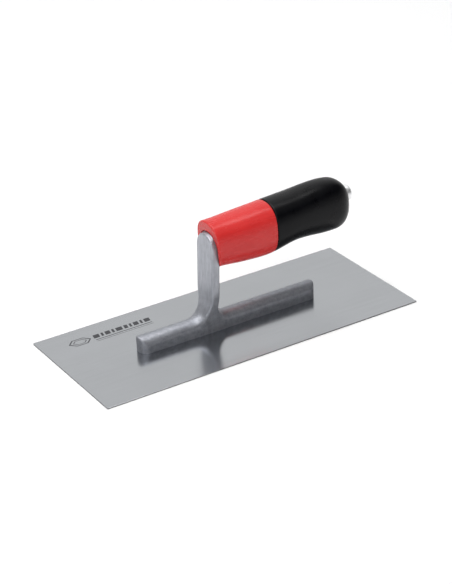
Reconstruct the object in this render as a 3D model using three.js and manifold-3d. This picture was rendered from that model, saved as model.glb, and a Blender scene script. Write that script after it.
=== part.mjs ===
// A plasterer's finishing trowel: a flat steel blade riveted to a cast aluminium
// mounting, whose tang runs through a two-part handle and is held by a screw at the rear.
//
// Millimetres. The origin is the centre of the blade's underside. +Z is up and +X runs
// along the blade towards the rear end of the handle. The plane y = 0 is a mirror plane.

import * as THREE from "three";
import { mergeVertices } from "three/addons/utils/BufferGeometryUtils.js";
import Module from "manifold-3d";

const wasm = await Module();
wasm.setup();

// ---------------------------------------------------------------- driving dimensions

const gap = 0.3;                      // clearance between a piece and the one cut to hold it

const blade = { length: 280, width: 120, thickness: 0.7 };

// Heights from here on are above the blade's upper face, where the mounting stands.
const foot = { length: 160, halfWidth: 8, height: 12.4, straightSide: 4.5, edge: 0.8 };

const post = {
  halfWidth: 11.4,
  thickness: 7.1,
  baseX: -16.8,                       // middle of the post where its line meets the blade
  lean: THREE.MathUtils.degToRad(2.3),
  top: 81.4,
  roundEdge: 1.3,
};

// Between these heights the post widens from the foot's width to its own.
const neck = { low: 12, top: 34 };

// The hollow curve between post and foot, and how square its sections are at each end.
const flare = { bottom: 3, footTop: 11.6, top: 27, front: 13, rear: 7, footExponent: 2.4, postExponent: 5 };

const handle = {
  front: -13.4,                       // middle of the front face
  frontRake: THREE.MathUtils.degToRad(5),
  seam: 38.8,                         // where the plastic ends and the rubber begins
  rear: 113.6,
  noseStart: 97,
  exponent: 2.4,                      // squareness of the oval sections, 2 being an ellipse
  gripWall: 3,
};

// The handle's side view and plan: heights of its top and bottom lines and its half-width.
const handleLines = {
  x: [-13.4, 12, 35, 60, 90, 113.6],
  top: [90.6, 91.7, 93.2, 94.6, 97, 94.6],
  bottom: [53.3, 51.5, 51, 55.7, 53.8, 53.6],
  halfWidth: [16.1, 17.6, 18, 17.8, 16.4, 15],
};

const axis = { frontHeight: 72, rise: THREE.MathUtils.degToRad(3.5) };

const tang = {
  start: -12.5,
  end: 86,
  frontHalfWidth: 6.5,
  rearHalfWidth: 5,
  frontHalfHeight: 8,
  rearHalfHeight: 5.5,
  exponent: 4,
};

const socketGap = 0.8;                // open joint line round the post in the handle's front face

const rivet = { count: 7, pitch: 22, headRadius: 3.2, shankRadius: 2, length: 8 };

// Distances along the handle's axis, from its front face.
const screw = {
  shankRadius: 3,
  shankStart: 89.7,
  headStart: 123.9,
  headEnd: 130.8,
  headRadius: 6.5,
  headDome: 2,
  crownRadius: 4.4,
  socketRadius: 2.3,
  socketDepth: 2.6,
};
const washer = { start: 122.4, thickness: 1.2, radius: 6.6 };
const bore = { start: 120.8, end: 143, radius: 7.1 };   // recess for the washer and the screw head
const coreEnd = 108;                  // x of the plastic core's flat rear end

// ------------------------------------------------------------------ geometry helpers

const loftSides = 32;
const turnedSides = 20;
const weldDistance = 1e-4;

// A closed body through rings of points. place(t, angle, radius) gives the point at a
// share t of the length, where radius is 1 on the surface and 0 on the middle line.
function loft(rings, place) {
  const geometry = new THREE.CylinderGeometry(1, 1, 1, loftSides, rings);
  geometry.rotateX(Math.PI / 2);
  const position = geometry.attributes.position;
  for (let i = 0; i < position.count; i += 1) {
    const x = position.getX(i);
    const y = position.getY(i);
    const point = place(position.getZ(i) + 0.5, Math.atan2(y, x), Math.min(Math.hypot(x, y), 1));
    position.setXYZ(i, ...point);
  }
  return geometry;
}

// One coordinate of a superellipse: cosine or sine raised to 2 / exponent, sign kept.
function squared(wave, exponent) {
  return Math.sign(wave) * Math.abs(wave) ** (2 / exponent);
}

function solid(geometry) {
  const bare = geometry.clone();
  bare.deleteAttribute("normal");
  bare.deleteAttribute("uv");
  const merged = mergeVertices(bare, weldDistance);
  const corners = merged.index.array;
  const triangles = [];
  for (let i = 0; i < corners.length; i += 3) {
    const [a, b, c] = corners.slice(i, i + 3);
    if (a !== b && b !== c && c !== a) triangles.push(a, b, c);
  }
  return new wasm.Manifold(new wasm.Mesh({
    numProp: 3,
    vertProperties: merged.attributes.position.array,
    triVerts: Uint32Array.from(triangles),
  }));
}

function geometryOf(body) {
  const { vertProperties, triVerts } = body.getMesh();
  const geometry = new THREE.BufferGeometry();
  geometry.setAttribute("position", new THREE.BufferAttribute(vertProperties, 3));
  geometry.setIndex(new THREE.BufferAttribute(triVerts, 1));
  geometry.computeVertexNormals();
  return geometry;
}

// A body of revolution from [radius, distance] pairs, turned so that it runs along +Z.
function turned(profile) {
  const points = profile.map(([radius, distance]) => new THREE.Vector2(radius, distance));
  return new THREE.LatheGeometry(points, turnedSides).rotateX(Math.PI / 2);
}

// Moves a body that runs along +Z onto the handle's axis, so that it runs rearwards.
function ontoAxis(geometry) {
  geometry.rotateY(Math.PI / 2 - axis.rise);
  return geometry.translate(handle.front, 0, blade.thickness + axis.frontHeight);
}

function ontoBlade(geometry) {
  return geometry.translate(0, 0, blade.thickness);
}

// --------------------------------------------------------------------------- blade

function rivetX(i) {
  return (i - (rivet.count - 1) / 2) * rivet.pitch;
}

// A countersunk rivet from the working face up into the foot, or, with clearance, its hole.
function rivetBody(i, clearance) {
  const head = rivet.headRadius + clearance;
  const shank = rivet.shankRadius + clearance;
  const profile = [
    [0, -clearance],
    [head, -clearance],
    [head, 0],
    [shank, blade.thickness],
    [shank, rivet.length],
    [0, rivet.length],
  ];
  if (clearance === 0) profile.splice(1, 1);
  return turned(profile).translate(rivetX(i), 0, 0);
}

function bladeBody() {
  const plate = new THREE.BoxGeometry(blade.length, blade.width, blade.thickness);
  let body = solid(plate.translate(0, 0, blade.thickness / 2));
  for (let i = 0; i < rivet.count; i += 1) body = body.subtract(solid(rivetBody(i, gap)));
  return body;
}

// ------------------------------------------------------------------------ mounting

// The foot is a bar with a round top, whose ends are half circles seen from above.
function footBody() {
  const { length, halfWidth, height, straightSide } = foot;
  const profile = new THREE.Shape();
  profile.moveTo(-halfWidth, 0);
  profile.lineTo(halfWidth, 0);
  profile.lineTo(halfWidth, straightSide);
  profile.absellipse(0, straightSide, halfWidth, height - straightSide, 0, Math.PI);
  profile.closePath();
  const bar = new THREE.ExtrudeGeometry(profile, { depth: length, bevelEnabled: false, curveSegments: 8 });
  bar.applyMatrix4(new THREE.Matrix4().makeBasis(
    new THREE.Vector3(0, 1, 0),
    new THREE.Vector3(0, 0, 1),
    new THREE.Vector3(1, 0, 0),
  ));
  bar.translate(-length / 2, 0, 0);

  const endX = length / 2 - halfWidth;
  const plan = new THREE.Shape();
  plan.absarc(endX, 0, halfWidth, -Math.PI / 2, Math.PI / 2);
  plan.absarc(-endX, 0, halfWidth, Math.PI / 2, Math.PI * 1.5);
  plan.closePath();
  const block = new THREE.ExtrudeGeometry(plan, {
    depth: height - foot.edge,
    bevelThickness: foot.edge,
    bevelSize: foot.edge,
    bevelOffset: -foot.edge,
    bevelSegments: 2,
    curveSegments: 8,
  });
  return solid(ontoBlade(bar)).intersect(solid(ontoBlade(block)));
}

// The post is a slab with a half-round top and a narrower neck, which leans back by a small angle.
function postGeometry(spare) {
  const halfWidth = post.halfWidth + spare;
  const neckHalfWidth = foot.halfWidth + spare;
  const outline = new THREE.Shape();
  outline.moveTo(-neckHalfWidth, foot.straightSide);
  outline.lineTo(neckHalfWidth, foot.straightSide);
  outline.lineTo(neckHalfWidth, neck.low);
  outline.lineTo(halfWidth, neck.top);
  outline.absarc(0, post.top - post.halfWidth, halfWidth, 0, Math.PI);
  outline.lineTo(-halfWidth, neck.top);
  outline.lineTo(-neckHalfWidth, neck.low);
  outline.closePath();
  const slab = new THREE.ExtrudeGeometry(outline, {
    depth: post.thickness + 2 * spare - 2 * post.roundEdge,
    bevelThickness: post.roundEdge,
    bevelSize: post.roundEdge,
    bevelOffset: -post.roundEdge,
    bevelSegments: 3,
    curveSegments: 10,
  });
  slab.translate(0, 0, post.roundEdge - post.thickness / 2 - spare);
  slab.applyMatrix4(new THREE.Matrix4().makeBasis(
    new THREE.Vector3(0, 1, 0),
    new THREE.Vector3(0, 0, 1),
    new THREE.Vector3(1, 0, 0),
  ));
  slab.rotateY(post.lean);
  return ontoBlade(slab.translate(post.baseX, 0, 0));
}

// The casting's hollow-curved spread from the post down onto the foot.
function flareGeometry() {
  return ontoBlade(loft(9, (t, angle, radius) => {
    const z = flare.bottom + t * (flare.top - flare.bottom);
    const share = THREE.MathUtils.clamp((z - flare.footTop) / (flare.top - flare.footTop), 0, 1);
    const spread = 1 - Math.sqrt(1 - (1 - share) ** 2);
    const middle = post.baseX + z * Math.tan(post.lean);
    const halfLength = post.thickness / 2;
    const front = middle - halfLength - flare.front * spread;
    const rear = middle + halfLength + flare.rear * spread;
    const exponent = THREE.MathUtils.lerp(flare.footExponent, flare.postExponent, share);
    const widening = THREE.MathUtils.clamp((z - neck.low) / (neck.top - neck.low), 0, 1);
    const halfWidth = THREE.MathUtils.lerp(foot.halfWidth, post.halfWidth, widening);
    return [
      (front + rear) / 2 + (radius * (rear - front) / 2) * squared(Math.cos(angle), exponent),
      radius * halfWidth * squared(Math.sin(angle), exponent),
      z,
    ];
  }));
}

// The tang tapers rearwards inside the handle.
function tangGeometry(spare) {
  return ontoBlade(loft(1, (t, angle, radius) => {
    const x = tang.start + t * (tang.end + spare - tang.start);
    const halfWidth = THREE.MathUtils.lerp(tang.frontHalfWidth, tang.rearHalfWidth, t) + spare;
    const halfHeight = THREE.MathUtils.lerp(tang.frontHalfHeight, tang.rearHalfHeight, t) + spare;
    const centre = axis.frontHeight + (x - handle.front) * Math.tan(axis.rise);
    return [
      x,
      radius * halfWidth * squared(Math.cos(angle), tang.exponent),
      centre + radius * halfHeight * squared(Math.sin(angle), tang.exponent),
    ];
  }));
}

function screwShank(radius) {
  return solid(ontoAxis(turned([
    [0, screw.shankStart - gap],
    [radius, screw.shankStart - gap],
    [radius, screw.headEnd],
    [0, screw.headEnd],
  ])));
}

function mountingBody() {
  let body = footBody()
    .add(solid(flareGeometry()))
    .add(solid(postGeometry(0)))
    .add(solid(tangGeometry(0)));
  for (let i = 0; i < rivet.count; i += 1) body = body.subtract(solid(rivetBody(i, gap)));
  return body.subtract(screwShank(screw.shankRadius + gap));
}

// -------------------------------------------------------------------------- handle

const lineAt = {};
for (const line of ["top", "bottom", "halfWidth"]) {
  const curve = new THREE.CubicInterpolant(handleLines.x, handleLines[line], 1);
  lineAt[line] = (x) => curve.evaluate(x)[0];
}

// How far the round nose has closed in at x: 1 in front of it, 0 at its tip.
function noseScale(x) {
  const share = THREE.MathUtils.clamp((x - handle.noseStart) / (handle.rear - handle.noseStart), 0, 1);
  return (1 - share ** handle.exponent) ** (1 / handle.exponent);
}

// The handle between two stations, inset from its outer surface. Its front face is raked
// and its seam is upright, so the sections turn upright in between.
function handleGeometry(start, end, inset, rings) {
  return ontoBlade(loft(rings, (t, angle, radius) => {
    const x = THREE.MathUtils.lerp(start, end, Math.sin((t * Math.PI) / 2));
    const scale = noseScale(x + inset) * radius;
    const top = lineAt.top(x) - inset;
    const bottom = lineAt.bottom(x) + inset;
    const lift = ((scale * (top - bottom)) / 2) * squared(Math.sin(angle), handle.exponent);
    const upright = THREE.MathUtils.clamp((x - handle.front) / (handle.seam - 1 - handle.front), 0, 1);
    return [
      x - lift * Math.tan(handle.frontRake) * (1 - upright),
      scale * (lineAt.halfWidth(x) - inset) * squared(Math.cos(angle), handle.exponent),
      (top + bottom) / 2 + lift,
    ];
  }));
}

// The plastic core shows in front of the seam and carries the rubber grip behind it.
function coreBody() {
  return solid(handleGeometry(handle.front, handle.seam, 0, 6))
    .add(solid(handleGeometry(handle.seam - 1, coreEnd, handle.gripWall, 8)))
    .subtract(solid(postGeometry(socketGap)))
    .subtract(solid(tangGeometry(gap)))
    .subtract(screwShank(screw.shankRadius + gap));
}

function gripBody() {
  const recess = turned([[0, bore.start], [bore.radius, bore.start], [bore.radius, bore.end], [0, bore.end]]);
  return solid(handleGeometry(handle.seam + gap, handle.rear, 0, 18))
    .subtract(solid(handleGeometry(handle.seam - 1, coreEnd + gap, handle.gripWall - gap, 8)))
    .subtract(solid(ontoAxis(recess)));
}

function washerBody() {
  const hole = screw.shankRadius + gap;
  const end = washer.start + washer.thickness;
  return solid(ontoAxis(turned([
    [hole, washer.start],
    [washer.radius, washer.start],
    [washer.radius, end],
    [hole, end],
    [hole, washer.start],
  ])));
}

// A pan-head screw with a round drive recess.
function screwBody() {
  const { shankRadius, shankStart, headStart, headEnd, headRadius, headDome, crownRadius } = screw;
  const profile = [
    [0, shankStart],
    [shankRadius, shankStart],
    [shankRadius, headStart],
    [headRadius, headStart],
    [headRadius, headEnd - headDome],
    [(headRadius + crownRadius) / 2 + headDome * 0.2, headEnd - headDome * 0.3],
    [crownRadius, headEnd],
    [0, headEnd],
  ];
  const recess = turned([
    [0, headEnd - screw.socketDepth],
    [screw.socketRadius, headEnd - screw.socketDepth],
    [screw.socketRadius, bore.end],
    [0, bore.end],
  ]);
  return solid(ontoAxis(turned(profile))).subtract(solid(ontoAxis(recess)));
}

// ------------------------------------------------------------------------ assembly

const stainless = new THREE.MeshStandardMaterial({ color: 0xadb1b4, roughness: 0.32, metalness: 1 });
const castAluminium = new THREE.MeshStandardMaterial({ color: 0xa6a9b2, roughness: 0.42, metalness: 1 });
const rivetSteel = new THREE.MeshStandardMaterial({ color: 0xa8aaad, roughness: 0.35, metalness: 1 });
const redPlastic = new THREE.MeshStandardMaterial({ color: 0xd23a38, roughness: 0.3, metalness: 0 });
const blackRubber = new THREE.MeshStandardMaterial({ color: 0x18181b, roughness: 0.45, metalness: 0 });
const platedSteel = new THREE.MeshStandardMaterial({ color: 0xd4d6da, roughness: 0.25, metalness: 1 });

const trowel = new THREE.Group();

function addPiece(name, body, material) {
  const mesh = new THREE.Mesh(geometryOf(body), material);
  mesh.name = name;
  trowel.add(mesh);
}

addPiece("blade", bladeBody(), stainless);
addPiece("mounting", mountingBody(), castAluminium);
for (let i = 0; i < rivet.count; i += 1) {
  addPiece(`blade_rivet_${i + 1}`, solid(rivetBody(i, 0)), rivetSteel);
}
addPiece("handle_core", coreBody(), redPlastic);
addPiece("rear_grip", gripBody(), blackRubber);
addPiece("screw_washer", washerBody(), platedSteel);
addPiece("handle_screw", screwBody(), platedSteel);

export default trowel;
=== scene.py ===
"""A plasterer's finishing trowel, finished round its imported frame.

The frame gives the blade's size, the foot's length and where the rivets stand. Every visible node gets
a finer mesh here, and a material of its own. Metres, with +Z up and +X towards the handle's rear.
"""

import math

import bmesh
import bpy
import numpy as np
import openvdb
from mathutils import Matrix, Vector


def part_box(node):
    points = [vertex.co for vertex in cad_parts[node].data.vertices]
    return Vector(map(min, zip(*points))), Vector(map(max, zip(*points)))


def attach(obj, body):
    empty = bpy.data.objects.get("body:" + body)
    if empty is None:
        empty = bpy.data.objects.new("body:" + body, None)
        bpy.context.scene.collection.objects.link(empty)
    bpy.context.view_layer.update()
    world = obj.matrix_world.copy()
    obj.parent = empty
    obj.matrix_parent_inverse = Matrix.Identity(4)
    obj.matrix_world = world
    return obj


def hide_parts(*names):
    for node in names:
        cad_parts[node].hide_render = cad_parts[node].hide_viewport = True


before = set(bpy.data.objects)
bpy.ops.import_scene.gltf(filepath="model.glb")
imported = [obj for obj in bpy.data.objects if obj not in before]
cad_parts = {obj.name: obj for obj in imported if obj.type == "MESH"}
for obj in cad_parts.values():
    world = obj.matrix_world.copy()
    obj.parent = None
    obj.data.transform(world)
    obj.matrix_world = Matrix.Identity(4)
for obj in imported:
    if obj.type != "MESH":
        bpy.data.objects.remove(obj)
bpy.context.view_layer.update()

# ------------------------------------------------------------------ sizes from the frame

BLADE_LOW, BLADE_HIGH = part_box("blade")
BLADE_TOP = BLADE_HIGH.z
FOOT_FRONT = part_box("mounting")[0].x
FOOT_HALF_LENGTH = -FOOT_FRONT
RIVETS = [name for name in sorted(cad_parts) if name.startswith("blade_rivet_")]

# --------------------------------------------------------- driving dimensions, in metres

BLADE_CORNER = 0.0009
BLADE_EDGE = 0.00012

# Heights below are above the blade's upper face.
FOOT_HALF_WIDTH = 0.008
FOOT_HEIGHT = 0.0124
FOOT_STRAIGHT_SIDE = 0.0045
FOOT_EDGE = 0.0008

POST_HALF_WIDTH = 0.0114
POST_HALF_THICKNESS = 0.00355
POST_BASE_X = -0.0168
POST_LEAN = math.radians(2.3)
POST_TOP = 0.0814
POST_EDGE = 0.0014
NECK_LOW = 0.012
NECK_TOP = 0.034
FLARE_FRONT = 0.018
FLARE_REAR = 0.013
FOOT_BLEND = 0.001                     # reach of the hollow curves between the casting's bodies
TANG_BLEND = 0.004

HANDLE_FRONT = -0.0134
FRONT_RAKE = math.radians(5)
HANDLE_SEAM = 0.0388
HANDLE_REAR = 0.1136
NOSE_START = 0.097
NOSE_END_SCALE = 0.62
OVAL_EXPONENT = 2.4
GRIP_WALL = 0.003
CORE_END = 0.108
SEAM_EDGE = 0.001
SEAM_GAP = 0.00012
FRONT_EDGE = 0.0011
FRONT_INSETS = (0.006, 0.003)          # of the rings across the flat front face
FIRST_STATION = 0.002                  # from an edge to the first full-size ring

# The handle's side view and plan: its top and bottom lines and its half-width along X.
LINE_X = (-0.0134, 0.0120, 0.0350, 0.0600, 0.0900, 0.1136)
LINE_TOP = (0.0906, 0.0917, 0.0932, 0.0946, 0.0969, 0.0946)
LINE_BOTTOM = (0.0533, 0.0515, 0.0510, 0.0557, 0.0538, 0.0536)
LINE_HALF_WIDTH = (0.0161, 0.0176, 0.0180, 0.0178, 0.0164, 0.0150)

AXIS_HEIGHT = 0.072
AXIS_RISE = math.radians(3.5)
TANG_START = -0.0125
TANG_END = 0.086
TANG_HALF_WIDTH = (0.0065, 0.0050)
TANG_HALF_HEIGHT = (0.0080, 0.0055)
TANG_EDGE = 0.002
SOCKET_GAP = 0.0009                    # an open joint line round the post
LIP_DEPTH = 0.0014
LIP_WIDTH = 0.0006
TANG_GAP = 0.0003

# Distances along the handle's axis from its front face.
BORE_START = 0.1218
BORE_RADIUS = 0.0071
BORE_EDGE = 0.0007
WASHER_START = 0.1224
WASHER_THICKNESS = 0.0012
WASHER_RADIUS = 0.0066
SHANK_START = 0.0897
SHANK_RADIUS = 0.0030
SHANK_POINT = 0.0006
SCREW_HOLE_START = 0.05
HEAD_START = 0.1239
HEAD_END = 0.1308
HEAD_RADIUS = 0.0065
HEAD_EDGE = 0.0004
DOME_HEIGHT = 0.0022
DOME_INSET = 0.0030
HEX_DEPTH = 0.0026
HEX_APOTHEM = 0.0020
HEX_CHAMFER = 0.0003
HEX_MOUTH = 1.12                       # widening of the socket's mouth
HEX_RIM = 1.5                          # radius of the ring round the mouth, in apothems

RIVET_HEAD_RADIUS = 0.0032
RIVET_SHANK_RADIUS = 0.0020
RIVET_LENGTH = 0.008
RIVET_LAND = 0.00012                   # straight rim under the countersunk face
RIVET_EDGE = 0.00008
RIVET_FIT = 0.00006

RING_POINTS = 144
RIVET_POINTS = 64
WASHER_POINTS = 96
VOXEL = 0.0005
CASTING_ROOM = 0.013                   # half-widths and spare height of the meshed regions
SOCKET_ROOM = 0.015
HEADROOM = 0.006

# ------------------------------------------------------------------------- mesh helpers


def mesh_object(name, points, faces, sharp_degrees=32):
    """A smooth-shaded mesh with its faces turned outwards and its sharp edges marked."""
    mesh = bpy.data.meshes.new(name)
    mesh.from_pydata([tuple(p) for p in points], [], [tuple(int(i) for i in f) for f in faces])
    work = bmesh.new()
    work.from_mesh(mesh)
    bmesh.ops.remove_doubles(work, verts=work.verts, dist=1e-7)
    bmesh.ops.recalc_face_normals(work, faces=work.faces)
    work.to_mesh(mesh)
    work.free()
    piece = bpy.data.objects.new(name, mesh)
    bpy.context.scene.collection.objects.link(piece)
    shade(piece, sharp_degrees)
    return piece


def shade(piece, sharp_degrees):
    mesh = piece.data
    mesh.polygons.foreach_set("use_smooth", [True] * len(mesh.polygons))
    mesh.set_sharp_from_angle(angle=math.radians(sharp_degrees))
    mesh.update()


def skin(name, rings, closed=False, sharp_degrees=32):
    """A body through rings of points: capped at both ends, or joined end to end when closed."""
    count = len(rings[0])
    points = np.concatenate(rings)
    faces = []
    spans = len(rings) if closed else len(rings) - 1
    for i in range(spans):
        here = i * count
        there = ((i + 1) % len(rings)) * count
        for j in range(count):
            k = (j + 1) % count
            faces.append((here + j, here + k, there + k, there + j))
    if not closed:
        faces.append(tuple(range(count))[::-1])
        faces.append(tuple(range((len(rings) - 1) * count, len(rings) * count)))
    return mesh_object(name, points, faces, sharp_degrees)


def apply_modifiers(piece):
    """Replaces the piece's mesh with what its modifiers make of it."""
    graph = bpy.context.evaluated_depsgraph_get()
    baked = bpy.data.meshes.new_from_object(piece.evaluated_get(graph))
    piece.modifiers.clear()
    old = piece.data
    piece.data = baked
    bpy.data.meshes.remove(old)


def cut(piece, cutter, sharp_degrees=32):
    """Takes the cutter's body out of the piece, and removes the cutter."""
    modifier = piece.modifiers.new("cut", "BOOLEAN")
    modifier.operation = "DIFFERENCE"
    modifier.solver = "EXACT"
    modifier.object = cutter
    bpy.context.view_layer.update()
    apply_modifiers(piece)
    bpy.data.objects.remove(cutter)
    shade(piece, sharp_degrees)


def angles(count=RING_POINTS):
    return np.arange(count) * 2 * math.pi / count


def circle(radius, distance, count=RING_POINTS):
    """A ring round +Z at a distance along it."""
    a = angles(count)
    return np.stack([radius * np.cos(a), radius * np.sin(a), np.full(count, distance)], 1)


def turned(profile, count=RING_POINTS):
    """Rings of a body of revolution round +Z, from (radius, distance) pairs."""
    return [circle(radius, distance, count) for radius, distance in profile]


def onto_axis(ring):
    """Moves a ring that lies round +Z onto the handle's axis, running rearwards."""
    along = np.array([math.cos(AXIS_RISE), 0, math.sin(AXIS_RISE)])
    upward = np.array([-math.sin(AXIS_RISE), 0, math.cos(AXIS_RISE)])
    start = np.array([HANDLE_FRONT, 0, BLADE_TOP + AXIS_HEIGHT])
    sideways = np.array([0.0, 1.0, 0.0])
    return start + ring[:, :1] * sideways + ring[:, 1:2] * upward + ring[:, 2:] * along


def quarter_arc(radius, steps):
    """(inset, advance) pairs of a quarter round edge, from its start to its end."""
    turns = [math.pi / 2 * i / steps for i in range(steps + 1)]
    return [(radius * (1 - math.sin(t)), radius * (1 - math.cos(t))) for t in turns]


# ---------------------------------------------------------------------- implicit bodies


def mesh_from_field(name, field, low, high, polish=3):
    """The surface where a signed distance field is zero, with its points moved exactly onto it."""
    steps = [np.arange(a, b + VOXEL, VOXEL) for a, b in zip(low, high)]
    grid_points = np.stack(np.meshgrid(*steps, indexing="ij"), -1)
    band = 3.0
    values = np.clip(field(grid_points) / VOXEL, -band, band)
    grid = openvdb.FloatGrid(band)
    grid.copyFromArray(values.astype(np.float32))
    points, quads = grid.convertToQuads(0.0)
    points = np.array(low) + points.astype(float) * VOXEL
    for _ in range(polish):
        points -= newton_step(field, points)
    return mesh_object(name, points, quads)


def newton_step(field, points):
    """How far each point has to move back along the field's slope to reach its zero."""
    width = VOXEL * 0.1
    value = field(points)
    slope = np.zeros_like(points)
    for i in range(3):
        shift = np.zeros(3)
        shift[i] = width
        slope[:, i] = (field(points + shift) - field(points - shift)) / (2 * width)
    size = np.maximum((slope**2).sum(1), 0.05)
    step = np.clip(value / size, -VOXEL * 0.5, VOXEL * 0.5)
    return step[:, None] * slope


def soft_min(a, b, reach):
    """Where either field holds, with a hollow curve where they meet."""
    blend = np.maximum(reach - np.abs(a - b), 0) / reach
    return np.minimum(a, b) - blend * blend * reach / 4


def round_max(a, b, radius):
    """Where both fields hold, with the edge between them rounded."""
    outside = np.hypot(np.maximum(a + radius, 0), np.maximum(b + radius, 0))
    return np.minimum(np.maximum(a, b), -radius) + outside


def foot_profile(p):
    """The foot bar's section, endless along X: straight sides under an oval top."""
    rise = np.maximum(p[..., 2] - BLADE_TOP - FOOT_STRAIGHT_SIDE, 0)
    oval = np.hypot(p[..., 1] / FOOT_HALF_WIDTH, rise / (FOOT_HEIGHT - FOOT_STRAIGHT_SIDE))
    return (oval - 1) * FOOT_HALF_WIDTH


def foot_field(p):
    beyond = np.maximum(np.abs(p[..., 0]) - (FOOT_HALF_LENGTH - FOOT_HALF_WIDTH), 0)
    plan = np.hypot(beyond, p[..., 1]) - FOOT_HALF_WIDTH
    return round_max(foot_profile(p), plan, FOOT_EDGE)


def post_front_view(p):
    """The post seen from the front: a half-round top over sides that draw in to the foot's width."""
    height = p[..., 2] - BLADE_TOP
    above = np.maximum(height - (POST_TOP - POST_HALF_WIDTH), 0)
    share = np.clip((height - NECK_LOW) / (NECK_TOP - NECK_LOW), 0, 1)
    widening = share * share * (3 - 2 * share)
    half_width = FOOT_HALF_WIDTH + (POST_HALF_WIDTH - FOOT_HALF_WIDTH) * widening
    return np.hypot(p[..., 1], above) - half_width


def post_side_view(p):
    middle = POST_BASE_X + (p[..., 2] - BLADE_TOP) * math.tan(POST_LEAN)
    return np.abs(p[..., 0] - middle) - POST_HALF_THICKNESS


def tang_field(p):
    along = np.clip((p[..., 0] - TANG_START) / (TANG_END - TANG_START), 0, 1)
    half_width = TANG_HALF_WIDTH[0] + along * (TANG_HALF_WIDTH[1] - TANG_HALF_WIDTH[0])
    half_height = TANG_HALF_HEIGHT[0] + along * (TANG_HALF_HEIGHT[1] - TANG_HALF_HEIGHT[0])
    centre = BLADE_TOP + AXIS_HEIGHT + (p[..., 0] - HANDLE_FRONT) * math.tan(AXIS_RISE)
    sides = np.abs(p[..., 1]) - half_width
    faces = np.abs(p[..., 2] - centre) - half_height
    section = round_max(sides, faces, TANG_EDGE)
    ends = np.maximum(TANG_START - p[..., 0], p[..., 0] - TANG_END)
    return np.maximum(section, ends)


def axis_radius(p):
    """Distance from the handle's axis."""
    height = p[..., 2] - BLADE_TOP - AXIS_HEIGHT
    across = height * math.cos(AXIS_RISE) - (p[..., 0] - HANDLE_FRONT) * math.sin(AXIS_RISE)
    return np.hypot(across, p[..., 1])


def axis_distance(p):
    """Distance along the handle's axis from its front face."""
    height = p[..., 2] - BLADE_TOP - AXIS_HEIGHT
    return height * math.sin(AXIS_RISE) + (p[..., 0] - HANDLE_FRONT) * math.cos(AXIS_RISE)


def mounting_field(p):
    foot = foot_field(p)
    flare = np.where(p[..., 0] < POST_BASE_X, FLARE_FRONT, FLARE_REAR)
    flared = soft_min(post_side_view(p), foot, flare)
    post = round_max(flared, post_front_view(p), POST_EDGE)
    return soft_min(soft_min(foot, post, FOOT_BLEND), tang_field(p), TANG_BLEND)


def socket_field(p):
    """The room in the handle for the post, the tang and the screw, wider at its mouth."""
    face = HANDLE_FRONT - (p[..., 2] - BLADE_TOP - AXIS_HEIGHT) * math.tan(FRONT_RAKE)
    depth = p[..., 0] - face
    lip = np.clip(1 - depth / LIP_DEPTH, 0, 1) ** 2 * LIP_WIDTH
    post = round_max(post_side_view(p), post_front_view(p), POST_EDGE) - SOCKET_GAP - lip
    screw_hole = np.maximum(axis_radius(p) - SHANK_RADIUS - TANG_GAP,
                            SCREW_HOLE_START - axis_distance(p))
    return np.minimum(np.minimum(post, tang_field(p) - TANG_GAP), screw_hole)


# ---------------------------------------------------------------------- handle sections


def line_at(values, x):
    """A smooth line through the handle's stations, level at both ends."""
    places = np.array(LINE_X)
    values = np.array(values)
    secants = np.diff(values) / np.diff(places)
    slopes = np.concatenate([[0], (secants[1:] + secants[:-1]) / 2, [0]])
    x = min(max(x, places[0]), places[-1])
    i = int(np.clip(np.searchsorted(places, x, side="right") - 1, 0, len(secants) - 1))
    width = places[i + 1] - places[i]
    t = (x - places[i]) / width
    return (
        (2 * t**3 - 3 * t**2 + 1) * values[i]
        + (t**3 - 2 * t**2 + t) * width * slopes[i]
        + (3 * t**2 - 2 * t**3) * values[i + 1]
        + (t**3 - t**2) * width * slopes[i + 1]
    )


def squared(wave):
    """Fills an ellipse's sine or cosine out towards a rounded rectangle's."""
    return np.sign(wave) * np.abs(wave) ** (2 / OVAL_EXPONENT)


def nose_scale(x):
    share = min(max((x - NOSE_START) / (HANDLE_REAR - NOSE_START), 0), 1)
    return (1 - share**OVAL_EXPONENT) ** (1 / OVAL_EXPONENT)


def handle_ring(x, inset=0.0):
    """An oval ring of the handle at a station, inset from its outer surface. The rings are raked
    at the front face and turn upright towards the seam."""
    a = angles()
    top = line_at(LINE_TOP, x) - inset
    bottom = line_at(LINE_BOTTOM, x) + inset
    scale = nose_scale(x + inset)
    lift = scale * (top - bottom) / 2 * squared(np.sin(a))
    upright = min(max((x - HANDLE_FRONT) / (HANDLE_SEAM - SEAM_EDGE - HANDLE_FRONT), 0), 1)
    ring_x = x - lift * math.tan(FRONT_RAKE) * (1 - upright)
    ring_y = scale * (line_at(LINE_HALF_WIDTH, x) - inset) * squared(np.cos(a))
    return np.stack([ring_x, ring_y, BLADE_TOP + (top + bottom) / 2 + lift], 1)


def on_nose(y, z):
    """x of the nose's surface over a point of the rear view."""
    top = line_at(LINE_TOP, HANDLE_REAR)
    bottom = line_at(LINE_BOTTOM, HANDLE_REAR)
    across = np.abs(y) / line_at(LINE_HALF_WIDTH, HANDLE_REAR)
    upward = np.abs(z - BLADE_TOP - (top + bottom) / 2) / ((top - bottom) / 2)
    scale = np.clip(across**OVAL_EXPONENT + upward**OVAL_EXPONENT, 0, 1)
    return NOSE_START + (HANDLE_REAR - NOSE_START) * (1 - scale) ** (1 / OVAL_EXPONENT)


def stations(start, end, count):
    """Evenly spaced places from the start to the end, both included."""
    return [start + (end - start) * i / count for i in range(count + 1)]


# ------------------------------------------------------------------------------- pieces


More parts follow.
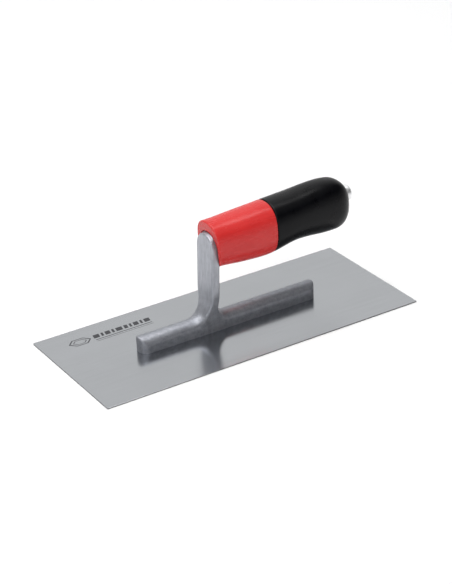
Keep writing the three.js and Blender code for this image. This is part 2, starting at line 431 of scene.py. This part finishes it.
def build_blade():
    """The plate with its edges just broken and a countersunk hole for each rivet."""
    mesh = bpy.data.meshes.new("blade_plate")
    work = bmesh.new()
    bmesh.ops.create_cube(work, size=1)
    size = BLADE_HIGH - BLADE_LOW
    bmesh.ops.transform(work, matrix=Matrix.Diagonal((*size, 1)), verts=work.verts)
    bmesh.ops.translate(work, vec=(BLADE_HIGH + BLADE_LOW) / 2, verts=work.verts)
    upright = [e for e in work.edges if abs(e.verts[0].co.z - e.verts[1].co.z) > size.z / 2]
    bmesh.ops.bevel(work, geom=upright, offset=BLADE_CORNER, segments=5, affect="EDGES", profile=0.5)
    rims = [e for e in work.edges if abs(e.verts[0].co.z - e.verts[1].co.z) < size.z / 4]
    bmesh.ops.bevel(work, geom=rims, offset=BLADE_EDGE, segments=2, affect="EDGES", profile=0.5)
    work.to_mesh(mesh)
    work.free()
    plate = bpy.data.objects.new("blade_plate", mesh)
    bpy.context.scene.collection.objects.link(plate)
    for name in RIVETS:
        cut(plate, skin("hole", rivet_rings(name, rivet_profile(RIVET_FIT))), sharp_degrees=12)
    return plate


def darken_edges(plate, material):
    """Gives the plate's sheared edge faces a finish of their own, dark as painted shade along the
    blade's edges.
    """
    plate.data.materials.append(material)
    for face in plate.data.polygons:
        if abs(face.normal.z) < 0.5:
            face.material_index = 1


def rivet_rings(name, profile):
    """The rings of a profile, turned round the axis of one rivet."""
    low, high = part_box(name)
    place = np.array([(low.x + high.x) / 2, (low.y + high.y) / 2, 0.0])
    return [ring + place for ring in turned(profile, RIVET_POINTS)]


def rivet_profile(spare):
    """(radius, height) of a countersunk rivet, or of its hole when there is spare room round it."""
    head = RIVET_HEAD_RADIUS + spare
    shank = RIVET_SHANK_RADIUS + spare
    end = RIVET_LENGTH + spare
    return [(head, -spare), (head, RIVET_LAND), (shank, BLADE_TOP), (shank, end)]


def build_rivets():
    """Rivets ground flush with the working face, each with a finely broken rim."""
    rim = [(RIVET_HEAD_RADIUS - RIVET_EDGE, 0.0), (RIVET_HEAD_RADIUS, RIVET_EDGE)]
    profile = rim + rivet_profile(0)[2:]
    pieces = []
    for name in RIVETS:
        piece = skin(name + "_fine", rivet_rings(name, profile))
        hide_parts(name)
        pieces.append(piece)
    return pieces


def build_mounting():
    """The casting: foot, post and tang run into each other with hollow curves. It is meshed a little
    past the blade's face and then cut flat there."""
    spare = 0.003
    low = (FOOT_FRONT - 0.001, -CASTING_ROOM, BLADE_TOP - spare)
    high = (TANG_END + 0.002, CASTING_ROOM, BLADE_TOP + POST_TOP + HEADROOM)
    casting = mesh_from_field("mounting_casting", mounting_field, low, high)
    x = (low[0] - spare, high[0] + spare)
    y = (low[1] - spare, high[1] + spare)
    plan = ((x[0], y[0]), (x[1], y[0]), (x[1], y[1]), (x[0], y[1]))
    below = [np.array([(*corner, z) for corner in plan]) for z in (BLADE_TOP - 2 * spare, BLADE_TOP)]
    cut(casting, skin("below", below))
    radius = SHANK_RADIUS + RIVET_FIT
    thread = turned([(radius, SHANK_START - 0.001), (radius, HEAD_START)])
    cut(casting, skin("thread", [onto_axis(ring) for ring in thread]))
    for name in RIVETS:
        cut(casting, skin("hole", rivet_rings(name, rivet_profile(RIVET_FIT))))
    return casting


def build_core():
    """The red plastic body: full size up to the seam, and slimmer behind it, inside the grip."""
    rings = [handle_ring(HANDLE_FRONT, inset) for inset in FRONT_INSETS]
    for inset, advance in quarter_arc(FRONT_EDGE, 5):
        rings.append(handle_ring(HANDLE_FRONT + advance, inset))
    full_size = stations(HANDLE_FRONT + FIRST_STATION, HANDLE_SEAM - FIRST_STATION, 22)
    rings += [handle_ring(x) for x in full_size]
    for inset, advance in quarter_arc(SEAM_EDGE, 4)[::-1]:
        rings.append(handle_ring(HANDLE_SEAM - SEAM_GAP / 2 - advance, inset))
    rings.append(handle_ring(HANDLE_SEAM, GRIP_WALL))
    rings += [handle_ring(x, GRIP_WALL) for x in stations(HANDLE_SEAM + SEAM_EDGE, CORE_END, 30)]
    core = skin("handle_core_body", rings)
    low = (-0.026, -SOCKET_ROOM, 0.045)
    high = (CORE_END + 0.004, SOCKET_ROOM, BLADE_TOP + POST_TOP + HEADROOM)
    cut(core, mesh_from_field("socket", socket_field, low, high))
    return core


def build_grip():
    """The rubber sleeve: over the nose, into the screw's recess and back along the core."""
    rings = []
    for inset, advance in quarter_arc(SEAM_EDGE, 4):
        rings.append(handle_ring(HANDLE_SEAM + SEAM_GAP / 2 + advance, inset))
    rings += [handle_ring(x) for x in stations(HANDLE_SEAM + FIRST_STATION, NOSE_START, 24)]
    end_turn = math.acos(NOSE_END_SCALE)
    for t in stations(0, end_turn, 12)[1:]:
        rings.append(handle_ring(NOSE_START + (HANDLE_REAR - NOSE_START) * math.sin(t)))
    rings += nose_to_bore(rings[-1])
    bore = [(BORE_RADIUS, HEAD_START + 0.001), (BORE_RADIUS, BORE_START)]
    rings += [onto_axis(ring) for ring in turned(bore)]
    lining = stations(CORE_END + TANG_GAP, HANDLE_SEAM + SEAM_GAP / 2, 30)
    rings += [handle_ring(x, GRIP_WALL - TANG_GAP) for x in lining]
    return skin("rear_grip_sleeve", rings, closed=True)


def nose_to_bore(last):
    """Rings over the end of the nose, from an oval one to the rounded rim of the screw's recess."""
    rim = onto_axis(circle(BORE_RADIUS + BORE_EDGE, 0))
    rim[:, 1:] += rise_to_end()
    rings = []
    for t in stations(0, 1, 6)[1:]:
        blend = last + (rim - last) * t
        blend[:, 0] = on_nose(blend[:, 1], blend[:, 2])
        rings.append(blend)
    for inset, advance in quarter_arc(BORE_EDGE, 4)[1:]:
        ring = onto_axis(circle(BORE_RADIUS + inset, 0))
        ring[:, 1:] += rise_to_end()
        ring[:, 0] = on_nose(ring[:, 1], ring[:, 2]) - advance
        rings.append(ring)
    return rings


def rise_to_end():
    """How far (y, z) the handle's axis rises from the front face to the rear."""
    return np.array([0.0, (HANDLE_REAR - HANDLE_FRONT) * math.tan(AXIS_RISE)])


def build_washer():
    edge = 0.00015
    inner = SHANK_RADIUS + TANG_GAP
    end = WASHER_START + WASHER_THICKNESS
    profile = [
        (inner, WASHER_START),
        (WASHER_RADIUS - edge, WASHER_START),
        (WASHER_RADIUS, WASHER_START + edge),
        (WASHER_RADIUS, end - edge),
        (WASHER_RADIUS - edge, end),
        (inner, end),
    ]
    rings = [onto_axis(ring) for ring in turned(profile, WASHER_POINTS)]
    return skin("screw_washer_fine", rings, closed=True)


def hexagon(apothem, distance):
    """A six-sided ring round +Z at a distance along it."""
    a = angles()
    sector = (a + math.pi / 6) % (math.pi / 3) - math.pi / 6
    radius = apothem / np.cos(sector)
    return np.stack([radius * np.cos(a), radius * np.sin(a), np.full(len(a), distance)], 1)


def build_screw():
    """A domed head with a hexagon socket, on a plain shank."""
    dome_start = HEAD_END - DOME_HEIGHT
    dome = [(HEAD_RADIUS, HEAD_START + HEAD_EDGE), (HEAD_RADIUS, dome_start)]
    for t in stations(0, math.radians(80), 8)[1:]:
        radius = HEAD_RADIUS - DOME_INSET * (1 - math.cos(t))
        dome.append((radius, dome_start + DOME_HEIGHT * math.sin(t)))
    profile = [
        (SHANK_RADIUS - SHANK_POINT, SHANK_START),
        (SHANK_RADIUS, SHANK_START + SHANK_POINT),
        (SHANK_RADIUS, HEAD_START),
        (HEAD_RADIUS - HEAD_EDGE, HEAD_START),
    ]
    rings = turned(profile + dome)
    rings.append(circle(HEX_APOTHEM * HEX_RIM, HEAD_END))
    rings.append(hexagon(HEX_APOTHEM * HEX_MOUTH, HEAD_END))
    rings.append(hexagon(HEX_APOTHEM, HEAD_END - HEX_CHAMFER))
    rings.append(hexagon(HEX_APOTHEM, HEAD_END - HEX_DEPTH))
    return skin("handle_screw_fine", [onto_axis(ring) for ring in rings])


# --------------------------------------------------------------------- the blade's mark

MARK_LEFT = -0.1190
MARK_Y = 0.0402
MARK_SKIN = 0.00002                    # how far the etched film stands proud
BADGE_HALF_LENGTH = 0.0098
BADGE_HALF_HEIGHT = 0.0058
BADGE_SIZES = (1.0, 0.62)              # of the outer and the inner frame
BADGE_LINE = 0.86                      # inner over outer size of one frame's line
BAR_WIDTHS = (0.0052, 0.0020, 0.0044, 0.0020, 0.0056,
              0.0032, 0.0020, 0.0044, 0.0020, 0.0050)
BAR_SLANT = 0.0009
BAR_GAP = 0.0016
BAR_HEIGHT = 0.0052
BAR_DROP = 0.35                        # share of a bar's height that lies below the badge's middle
ROW_GAP = 0.0020                       # from the badge to the first bar
RULES = ((0.0048, 0.0008), (0.0070, 0.0004))     # (drop, thickness) of each rule under the bars


def slab(work, outline):
    """A flat plate on the blade with the given outline, added to a bmesh."""
    low = [work.verts.new((x, y, BLADE_TOP - MARK_SKIN)) for x, y in outline]
    high = [work.verts.new((x, y, BLADE_TOP + MARK_SKIN)) for x, y in outline]
    work.faces.new(low[::-1])
    work.faces.new(high)
    for i in range(len(outline)):
        j = (i + 1) % len(outline)
        work.faces.new((low[i], low[j], high[j], high[i]))


def bar_outline(x, y, width, height, slant=0.0):
    return [(x, y), (x + width, y), (x + width + slant, y + height), (x + slant, y + height)]


def badge_point(middle, size, turn):
    x = middle + size * BADGE_HALF_LENGTH * math.cos(turn)
    y = MARK_Y + size * BADGE_HALF_HEIGHT * math.sin(turn)
    return (x, y)


def build_mark():
    """A generic etched mark: a six-sided frame, a row of plain bars and two rules. No lettering."""
    work = bmesh.new()
    middle = MARK_LEFT + BADGE_HALF_LENGTH
    for size in BADGE_SIZES:
        for i in range(6):
            turns = (math.pi / 3 * i, math.pi / 3 * (i + 1))
            outer = [badge_point(middle, size, t) for t in turns]
            inner = [badge_point(middle, size * BADGE_LINE, t) for t in turns]
            slab(work, [outer[0], outer[1], inner[1], inner[0]])
    row_start = MARK_LEFT + 2 * BADGE_HALF_LENGTH + ROW_GAP
    x = row_start
    for width in BAR_WIDTHS:
        slab(work, bar_outline(x, MARK_Y - BAR_HEIGHT * BAR_DROP, width, BAR_HEIGHT, BAR_SLANT))
        x += width + BAR_GAP
    for drop, thickness in RULES:
        slab(work, bar_outline(row_start, MARK_Y - drop, x - row_start - BAR_GAP, thickness))
    mesh = bpy.data.meshes.new("blade_mark")
    bmesh.ops.recalc_face_normals(work, faces=work.faces)
    work.to_mesh(mesh)
    work.free()
    piece = bpy.data.objects.new("blade_mark", mesh)
    bpy.context.scene.collection.objects.link(piece)
    return piece


# ---------------------------------------------------------------------------- materials


class Finish:
    """A procedural material: a Principled shader with the node links that its surface needs."""

    def __init__(self, name, **constants):
        self.material = bpy.data.materials.new(name)
        self.material.use_nodes = True
        self.nodes = self.material.node_tree.nodes
        self.links = self.material.node_tree.links
        self.shader = self.nodes["Principled BSDF"]
        for key, value in constants.items():
            self.shader.inputs[key.replace("_", " ")].default_value = value
        self.coordinates = self.nodes.new("ShaderNodeTexCoord").outputs["Object"]

    def scaled(self, scale):
        mapping = self.nodes.new("ShaderNodeMapping")
        mapping.inputs["Scale"].default_value = scale
        self.links.new(self.coordinates, mapping.inputs["Vector"])
        return mapping.outputs["Vector"]

    def noise(self, scale, detail=4.0, roughness=0.55, stretch=(1, 1, 1)):
        """Noise with scale features to the metre, stretched where a stretch is below 1."""
        node = self.nodes.new("ShaderNodeTexNoise")
        node.inputs["Scale"].default_value = scale
        node.inputs["Detail"].default_value = detail
        node.inputs["Roughness"].default_value = roughness
        self.links.new(self.scaled(stretch), node.inputs["Vector"])
        return node.outputs["Fac"]

    def ramp(self, value, stops):
        """A colour ramp from (position, colour) stops."""
        node = self.nodes.new("ShaderNodeValToRGB")
        elements = node.color_ramp.elements
        while len(elements) < len(stops):
            elements.new(0.5)
        for element, (position, colour) in zip(elements, stops):
            element.position = position
            element.color = (*colour, 1)
        self.links.new(value, node.inputs["Fac"])
        return node.outputs["Color"]

    def spread(self, value, low, high, start=0.3, end=0.7):
        """Maps a noise value onto a range."""
        node = self.nodes.new("ShaderNodeMapRange")
        node.inputs["From Min"].default_value = start
        node.inputs["From Max"].default_value = end
        node.inputs["To Min"].default_value = low
        node.inputs["To Max"].default_value = high
        self.links.new(value, node.inputs["Value"])
        return node.outputs["Result"]

    def average(self, first, second):
        node = self.nodes.new("ShaderNodeMix")
        node.inputs["Factor"].default_value = 0.5
        self.links.new(first, node.inputs["A"])
        self.links.new(second, node.inputs["B"])
        return node.outputs["Result"]

    def height(self):
        node = self.nodes.new("ShaderNodeSeparateXYZ")
        self.links.new(self.coordinates, node.inputs["Vector"])
        return node.outputs["Z"]

    def mix(self, share, first, second):
        """Runs from the first colour to the second as the share goes from 0 to 1."""
        node = self.nodes.new("ShaderNodeMixRGB")
        self.links.new(share, node.inputs["Fac"])
        self.links.new(first, node.inputs["Color1"])
        self.links.new(second, node.inputs["Color2"])
        return node.outputs["Color"]

    def bump(self, height, distance):
        """Adds relief, over any relief that the material has already."""
        node = self.nodes.new("ShaderNodeBump")
        node.inputs["Distance"].default_value = distance
        self.links.new(height, node.inputs["Height"])
        normal = self.shader.inputs["Normal"]
        if normal.is_linked:
            self.links.new(normal.links[0].from_socket, node.inputs["Normal"])
        self.links.new(node.outputs["Normal"], normal)

    def colour(self, value):
        self.links.new(value, self.shader.inputs["Base Color"])

    def roughness(self, value):
        self.links.new(value, self.shader.inputs["Roughness"])


def stainless_material():
    """Satin stainless sheet: fine lines along the blade, faint wiping marks and clouding."""
    finish = Finish("stainless_sheet", Metallic=1.0, Anisotropic=0.25)
    lines = finish.noise(900, detail=3, stretch=(0.012, 1, 1))
    clouds = finish.noise(16, detail=3)
    wipes = finish.noise(60, detail=4, stretch=(0.35, 1, 1))
    tone = finish.average(lines, clouds)
    finish.colour(finish.ramp(tone, [(0.3, (0.50, 0.516, 0.536)), (0.7, (0.54, 0.557, 0.577))]))
    finish.roughness(finish.spread(wipes, 0.15, 0.21))
    finish.bump(lines, 0.000004)
    return finish.material


def sheared_edge_with_painted_shade_material():
    """The plate's sheared edges: dull, with marks across the sheet's thickness, and coloured far darker
    than the sheet as painted shade.
    """
    finish = Finish("sheared_edge_with_painted_shade", Metallic=1.0)
    marks = finish.noise(1600, detail=3, stretch=(1, 1, 0.1))
    # Painted shade: the edge faces are coloured far darker than the sheet, so that they stand as dark
    # shaded lines round the blade.
    finish.colour(finish.ramp(marks, [(0.3, (0.10, 0.103, 0.108)), (0.7, (0.17, 0.173, 0.178))]))
    finish.roughness(finish.spread(marks, 0.42, 0.6))
    finish.bump(marks, 0.00001)
    return finish.material


def casting_material():
    """Aluminium casting, dull and mottled, with painted shade and light: darker at the foot and lighter
    up the post, standing in for the post catching more light than the foot.
    """
    finish = Finish("tumbled_casting", Metallic=0.9)
    grain = finish.noise(1500, detail=5, roughness=0.65)
    dimples = finish.noise(260, detail=3)
    mottle = finish.noise(330, detail=4, roughness=0.7)
    streaks = finish.noise(330, detail=4, roughness=0.7, stretch=(1, 1, 0.2))
    # Painted shade and light: the mottled tone at the foot is darkened as shade, and the streaky tone
    # up the post is lightened as lit metal.
    shaded_foot_mottle = finish.ramp(mottle, [(0.36, (0.250, 0.259, 0.287)), (0.64, (0.345, 0.355, 0.388))])
    lit_post_streaks = finish.ramp(streaks, [(0.36, (0.380, 0.392, 0.428)), (0.64, (0.500, 0.513, 0.554))])
    # Painted shade and light by height alone: the mix runs from the shaded tone at the foot to the lit
    # tone higher up the post.
    shade_to_light_up_post = finish.spread(finish.height(), 0, 1, FOOT_HEIGHT / 2, 3.5 * FOOT_HEIGHT)
    finish.colour(finish.mix(shade_to_light_up_post, shaded_foot_mottle, lit_post_streaks))
    finish.roughness(finish.spread(dimples, 0.44, 0.56))
    finish.bump(grain, 0.00005)
    finish.bump(dimples, 0.00022)
    return finish.material


def rivet_material():
    """Rivet heads ground together with the blade, a little darker than it."""
    finish = Finish("ground_rivet", Metallic=1.0)
    lines = finish.noise(1200, detail=3, stretch=(0.03, 1, 1))
    finish.colour(finish.ramp(lines, [(0.3, (0.38, 0.385, 0.39)), (0.7, (0.47, 0.475, 0.48))]))
    finish.roughness(finish.spread(lines, 0.22, 0.34))
    finish.bump(lines, 0.00001)
    return finish.material


def red_plastic_material():
    """Moulded red plastic: soft flow marks, a fine satin skin and a few light scuffs."""
    finish = Finish("moulded_red_plastic", Specular_IOR_Level=0.35)
    flow = finish.noise(38, detail=3, stretch=(0.5, 1, 1))
    skin_grain = finish.noise(2600, detail=3)
    scuffs = finish.noise(420, detail=6, roughness=0.7, stretch=(0.2, 1, 1))
    finish.colour(finish.ramp(flow, [(0.3, (0.60, 0.026, 0.026)), (0.7, (0.68, 0.036, 0.034))]))
    finish.roughness(finish.spread(scuffs, 0.19, 0.35, 0.35, 0.75))
    finish.bump(skin_grain, 0.000012)
    finish.bump(flow, 0.00012)
    return finish.material


def black_rubber_material():
    """Smooth black soft grip: a fine skin grain, faint dust and slow undulation."""
    finish = Finish("moulded_black_rubber", Specular_IOR_Level=0.16)
    skin_grain = finish.noise(3000, detail=4)
    dust = finish.noise(70, detail=6, roughness=0.7)
    waves = finish.noise(30, detail=2)
    finish.colour(finish.ramp(dust, [(0.35, (0.0012, 0.0013, 0.0020)), (0.8, (0.003, 0.0031, 0.0042))]))
    finish.roughness(finish.spread(dust, 0.24, 0.36))
    finish.bump(skin_grain, 0.000015)
    finish.bump(waves, 0.00015)
    return finish.material


def plated_material():
    """Bright nickel plate with fine turning marks."""
    finish = Finish("nickel_plate", Metallic=1.0)
    marks = finish.noise(1400, detail=3)
    finish.colour(finish.ramp(marks, [(0.3, (0.84, 0.845, 0.85)), (0.7, (0.92, 0.92, 0.92))]))
    finish.roughness(finish.spread(marks, 0.38, 0.50))
    finish.bump(marks, 0.000006)
    return finish.material


def etch_material():
    """Electro-etched mark: dark, matt and slightly uneven."""
    finish = Finish("etched_mark", Metallic=0.2, Specular_IOR_Level=0.3)
    grain = finish.noise(1800, detail=5, roughness=0.7)
    finish.colour(finish.ramp(grain, [(0.3, (0.02, 0.0205, 0.024)), (0.75, (0.10, 0.102, 0.11))]))
    finish.roughness(finish.spread(grain, 0.5, 0.75))
    finish.bump(grain, 0.00001)
    return finish.material


def floor_material():
    finish = Finish("pale_floor", Roughness=0.9, Specular_IOR_Level=0.1)
    clouds = finish.noise(1.5, detail=2)
    finish.colour(finish.ramp(clouds, [(0.2, (0.90, 0.90, 0.902)), (0.8, (0.92, 0.92, 0.92))]))
    return finish.material


def finish_piece(piece, material, slot_name, *nodes):
    piece.data.materials.clear()
    piece.data.materials.append(material)
    if nodes:
        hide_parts(*nodes)
    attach(piece, "root")


# ---------------------------------------------------------------- floor, lights, camera

CAMERA_AZIMUTH = math.radians(-30.89)
CAMERA_ELEVATION = math.radians(27.48)
CAMERA_ROLL = math.radians(-2.63)
CAMERA_DISTANCE = 1.494
CAMERA_TARGET = Vector((0.0262, 0.0436, BLADE_TOP))
CAMERA_LENS = 114.1                    # mm, as is the sensor's side along the picture's long side
SENSOR = 36
WALL_LOW = 0.10                        # heights of a direction, as the sine of its elevation
WALL_TOP = 0.32
WALL_TONE = 0.50
DARK_TONE = 0.005
FLOOR_REACH = 6.0
FLOOR_DROP = 0.0002                    # keeps the floor clear of the blade's working face


def add_camera():
    a, e = CAMERA_AZIMUTH, CAMERA_ELEVATION
    back = Vector((math.sin(a) * math.cos(e), -math.cos(a) * math.cos(e), math.sin(e)))
    right = (-back).cross(Vector((0, 0, 1))).normalized()
    up = right.cross(-back)
    rolled_right = right * math.cos(CAMERA_ROLL) + up * math.sin(CAMERA_ROLL)
    rolled_up = up * math.cos(CAMERA_ROLL) - right * math.sin(CAMERA_ROLL)
    data = bpy.data.cameras.new("camera")
    data.lens = CAMERA_LENS
    data.sensor_width = SENSOR
    data.clip_start = 0.05
    camera = bpy.data.objects.new("camera", data)
    turn = Matrix((rolled_right, rolled_up, back)).transposed()
    camera.matrix_world = Matrix.Translation(CAMERA_TARGET + back * CAMERA_DISTANCE) @ turn.to_4x4()
    bpy.context.scene.collection.objects.link(camera)
    bpy.context.scene.camera = camera


def add_softbox(name, place, target, width, height, power):
    data = bpy.data.lights.new(name, "AREA")
    data.shape = "RECTANGLE"
    data.size = width
    data.size_y = height
    data.energy = power
    light = bpy.data.objects.new(name, data)
    aim = (Vector(target) - Vector(place)).to_track_quat("-Z", "Y")
    light.matrix_world = Matrix.Translation(place) @ aim.to_matrix().to_4x4()
    light.visible_camera = False
    bpy.context.scene.collection.objects.link(light)


def studio_surroundings():
    """The room round the stage: pale walls low down, and a dark space between them and the ceiling."""
    world = bpy.data.worlds.new("studio")
    world.use_nodes = True
    nodes = world.node_tree.nodes
    links = world.node_tree.links
    direction = nodes.new("ShaderNodeTexCoord").outputs["Generated"]
    height = nodes.new("ShaderNodeSeparateXYZ")
    links.new(direction, height.inputs["Vector"])
    ramp = nodes.new("ShaderNodeValToRGB")
    stops = ((WALL_LOW, WALL_TONE), (WALL_TOP, DARK_TONE))
    for element, (position, tone) in zip(ramp.color_ramp.elements, stops):
        element.position = position
        element.color = (tone, tone, tone * 1.02, 1)
    links.new(height.outputs["Z"], ramp.inputs["Fac"])
    links.new(ramp.outputs["Color"], nodes["Background"].inputs["Color"])
    return world


def add_studio():
    mesh = bpy.data.meshes.new("floor")
    reach = FLOOR_REACH
    corners = [(-reach, -reach, 0), (reach, -reach, 0), (reach, reach, 0), (-reach, reach, 0)]
    mesh.from_pydata(corners, [], [(0, 1, 2, 3)])
    floor = bpy.data.objects.new("floor", mesh)
    floor.data.materials.append(floor_material())
    floor.location.z = -FLOOR_DROP
    bpy.context.scene.collection.objects.link(floor)
    bpy.context.scene.world = studio_surroundings()
    bpy.context.scene.view_settings.view_transform = "Standard"
    add_softbox("back_softbox", (0.75, 1.25, 0.95), (0, 0, 0.05), 3.0, 1.5, 10.8)
    add_softbox("top_softbox", (-0.1, 0.2, 1.8), (0, 0, 0), 1.6, 1.6, 30.0)
    add_softbox("ceiling", (0, -0.3, 2.2), (0, 0, 0), 4.0, 4.0, 13.0)
    add_softbox("front_softbox", (-0.4, -1.2, 1.7), (0, 0, 0.05), 1.2, 1.2, 7.0)
    add_softbox("low_left_softbox", (-1.4, -0.65, 0.45), (0, 0, 0.05), 1.2, 0.5, 5.8)
    add_softbox("back_left_softbox", (-1.1, 1.1, 0.9), (0, 0, 0.05), 1.0, 1.0, 1.9)


# ----------------------------------------------------------------------------- assembly

add_camera()
add_studio()

blade_plate = build_blade()
finish_piece(blade_plate, stainless_material(), "stainless_blade", "blade")
darken_edges(blade_plate, sheared_edge_with_painted_shade_material())
finish_piece(build_mark(), etch_material(), "stainless_blade")
finish_piece(build_mounting(), casting_material(), "cast_aluminium", "mounting")
rivet_finish = rivet_material()
for rivet_piece in build_rivets():
    finish_piece(rivet_piece, rivet_finish, "rivet_steel")
finish_piece(build_core(), red_plastic_material(), "red_plastic", "handle_core")
finish_piece(build_grip(), black_rubber_material(), "black_rubber", "rear_grip")
plated_finish = plated_material()
finish_piece(build_washer(), plated_finish, "plated_steel", "screw_washer")
finish_piece(build_screw(), plated_finish, "plated_steel", "handle_screw")
